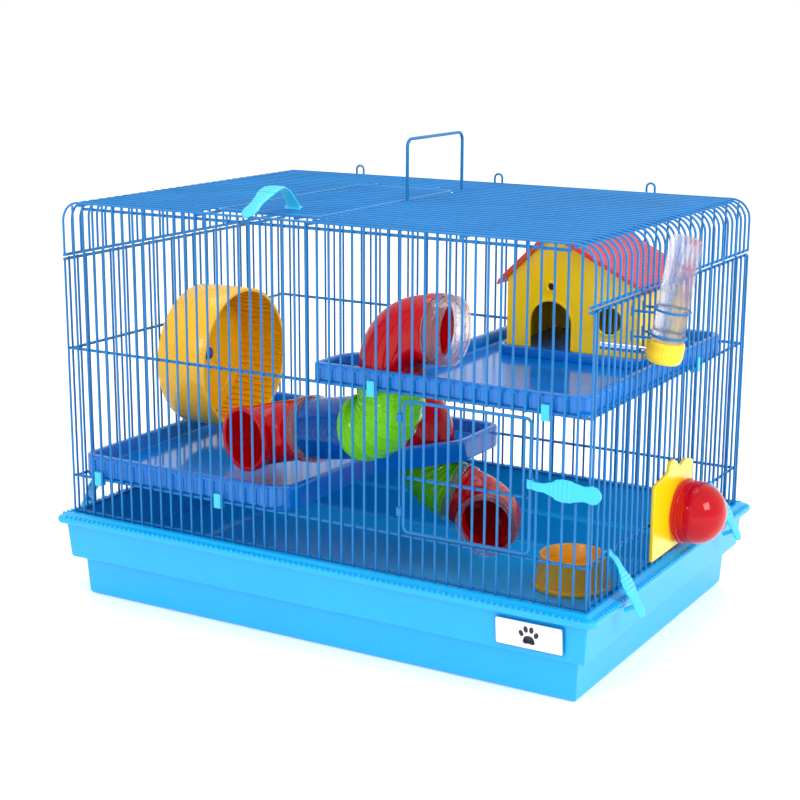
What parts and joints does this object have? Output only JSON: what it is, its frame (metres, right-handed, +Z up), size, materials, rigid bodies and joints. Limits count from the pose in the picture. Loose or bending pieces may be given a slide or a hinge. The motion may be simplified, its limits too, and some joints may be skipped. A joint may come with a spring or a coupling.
{
  "type": "hamster cage",
  "caption": "Wire hamster cage on a deep plastic tray, with platforms, elbow tubes, wheel, house, bottle, exit port, hinged doors, clips and a carrying handle.",
  "frame": {"origin": "centre of the tray's flat underside", "axes": "+X along the front towards the exit port, +Y towards the back, +Z up"},
  "size_m": [0.5748, 0.362, 0.4105],
  "materials": {
    "tray_cyan": "moulded, satin",
    "label_white": "blank sticker with a paw print",
    "wire_blue": "powder-coated steel wire",
    "clip_cyan": "moulded, satin",
    "deck_blue": "glossy moulded",
    "yellow": "glossy moulded",
    "pin_blue": "moulded",
    "red_clear": "tinted see-through moulding",
    "green_clear": "tinted see-through moulding",
    "blue_clear": "tinted see-through moulding",
    "clear": "clear moulding",
    "roof_red": "glossy moulded",
    "red_solid": "glossy moulded",
    "spout_steel": "polished tube"
  },
  "bodies": {
    "tray": {"base_tray": "tray_cyan", "label_plate": "label_white", "food_bowl": "yellow"},
    "cage": {"front_panel": "wire_blue", "back_panel": "wire_blue", "left_panel": "wire_blue", "right_panel": "wire_blue", "top_panel": "wire_blue", "back_hooks": "wire_blue", "lower_platform": "deck_blue", "upper_platform": "deck_blue", "lower_hooks": "clip_cyan", "upper_hooks": "clip_cyan", "elbow_upper_top": "red_clear", "elbow_upper_under": "green_clear", "link_tube": "blue_clear", "elbow_lower_left": "red_clear", "elbow_lower_top": "red_clear", "elbow_lower_under": "green_clear", "elbow_floor": "red_clear", "clear_couplers": "clear", "wheel_axle": "pin_blue", "wheel_bracket": "yellow", "house_walls": "yellow", "house_roof": "roof_red", "house_base": "deck_blue", "bottle_body": "clear", "bottle_cap": "yellow", "bottle_spout": "spout_steel", "bottle_holder": "wire_blue", "exit_plate": "yellow", "exit_collar": "red_solid"},
    "front_door": {"front_door": "wire_blue"},
    "front_latch": {"front_latch": "clip_cyan"},
    "top_door": {"top_door": "wire_blue"},
    "top_latch": {"top_latch": "clip_cyan"},
    "carry_handle": {"carry_handle": "wire_blue"},
    "clip_right_front": {"clip_right_front": "clip_cyan"},
    "clip_right_back": {"clip_right_back": "clip_cyan"},
    "clip_left_front": {"clip_left_front": "clip_cyan"},
    "clip_left_back": {"clip_left_back": "clip_cyan"},
    "wheel": {"wheel_drum": "yellow"},
    "exit_cap": {"exit_cap": "red_clear"}
  },
  "joints": [
    {"name": "cage_lift", "type": "slide", "parent": "tray", "child": "cage", "axis": [0, 0, 1], "range_m": [0, 0.09]},
    {"name": "front_door_hinge", "type": "hinge", "parent": "cage", "child": "front_door", "pos_m": [0.08696, -0.166, 0.169], "axis": [0, 0, -1], "range_deg": [0, 110]},
    {"name": "front_latch_hinge", "type": "hinge", "parent": "front_door", "child": "front_latch", "pos_m": [0.2013, -0.166, 0.171], "axis": [0, 0, -1], "range_deg": [0, 85]},
    {"name": "top_door_hinge", "type": "hinge", "parent": "cage", "child": "top_door", "pos_m": [-0.057, 0.08853, 0.3555], "axis": [-1, 0, 0], "range_deg": [0, 120]},
    {"name": "top_latch_hinge", "type": "hinge", "parent": "top_door", "child": "top_latch", "pos_m": [-0.055, -0.0996, 0.3555], "axis": [-1, 0, 0], "range_deg": [0, 100]},
    {"name": "handle_hinge", "type": "hinge", "parent": "cage", "child": "carry_handle", "pos_m": [0, 0.043, 0.3532], "axis": [0, 1, 0], "range_deg": [-25, 84]},
    {"name": "clip_right_front_hinge", "type": "hinge", "parent": "cage", "child": "clip_right_front", "pos_m": [0.2477, -0.12173, 0.111], "axis": [0, -1, 0], "range_deg": [0, 100]},
    {"name": "clip_right_back_hinge", "type": "hinge", "parent": "cage", "child": "clip_right_back", "pos_m": [0.2477, 0.0996, 0.111], "axis": [0, -1, 0], "range_deg": [0, 100]},
    {"name": "clip_left_front_hinge", "type": "hinge", "parent": "cage", "child": "clip_left_front", "pos_m": [-0.2477, -0.12173, 0.111], "axis": [0, 1, 0], "range_deg": [0, 100]},
    {"name": "clip_left_back_hinge", "type": "hinge", "parent": "cage", "child": "clip_left_back", "pos_m": [-0.2477, 0.0996, 0.111], "axis": [0, 1, 0], "range_deg": [0, 100]},
    {"name": "wheel_spin", "type": "hinge", "parent": "cage", "child": "wheel", "pos_m": [-0.2, -0.009, 0.198], "axis": [1, 0, 0], "continuous": true},
    {"name": "exit_cap_pull", "type": "slide", "parent": "cage", "child": "exit_cap", "axis": [1, 0, 0], "range_m": [0, 0.03]}
  ]
}
